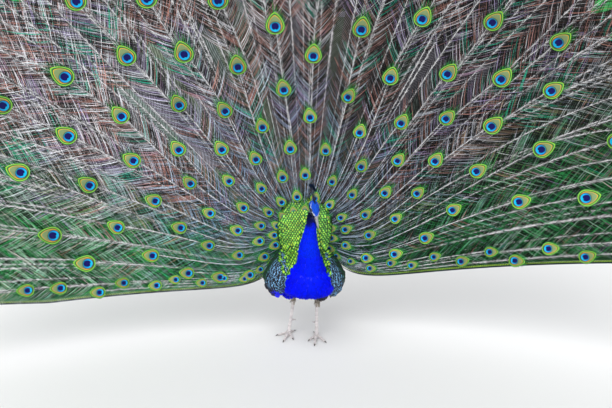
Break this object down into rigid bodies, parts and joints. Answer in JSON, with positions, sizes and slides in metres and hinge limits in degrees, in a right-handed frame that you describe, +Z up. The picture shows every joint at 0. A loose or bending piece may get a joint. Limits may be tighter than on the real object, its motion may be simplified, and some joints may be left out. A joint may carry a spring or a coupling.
{
  "type": "peacock",
  "caption": "Life-size still model of a male Indian peafowl in display: standing on both feet, train of eyed feathers raised in a wide forward-curving fan.",
  "frame": {"origin": "on the floor, under the middle of the whole bird's bounding box", "axes": "+Z up; the bird faces -Y and its own left side is +X, so the raised train spreads along X"},
  "size_m": [2.7584, 0.5286, 1.7792],
  "materials": {
    "blue_plumage": "satin",
    "green_scales": "satin",
    "brown_down": "matte",
    "barred_wing": "matte",
    "rufous_quills": "matte",
    "crest_plumes": "satin",
    "tail_feathers": "matte",
    "train_feathers": "satin",
    "leg_skin": "matte",
    "horn": "satin",
    "claw": "satin",
    "eye": "polished"
  },
  "bodies": {
    "root": {"trunk": "blue_plumage", "neck": "blue_plumage", "head": "blue_plumage", "bill_upper": "horn", "bill_lower": "horn", "eye_left": "eye", "eye_right": "eye", "crest": "crest_plumes", "mantle": "green_scales", "rump": "green_scales", "vent": "brown_down", "wing_left": "barred_wing", "primaries_left": "rufous_quills", "thigh_left": "brown_down", "shank_left": "leg_skin", "spur_left": "horn", "foot_left": "leg_skin", "claw_outer_left": "claw", "claw_middle_left": "claw", "claw_inner_left": "claw", "claw_hind_left": "claw", "wing_right": "barred_wing", "primaries_right": "rufous_quills", "thigh_right": "brown_down", "shank_right": "leg_skin", "spur_right": "horn", "foot_right": "leg_skin", "claw_outer_right": "claw", "claw_middle_right": "claw", "claw_inner_right": "claw", "claw_hind_right": "claw", "tail": "tail_feathers", "train_01": "train_feathers", "train_02": "train_feathers", "train_03": "train_feathers", "train_04": "train_feathers", "train_05": "train_feathers", "train_06": "train_feathers", "train_07": "train_feathers", "train_08": "train_feathers", "train_09": "train_feathers", "train_10": "train_feathers", "train_11": "train_feathers"}
  },
  "joints": []
}
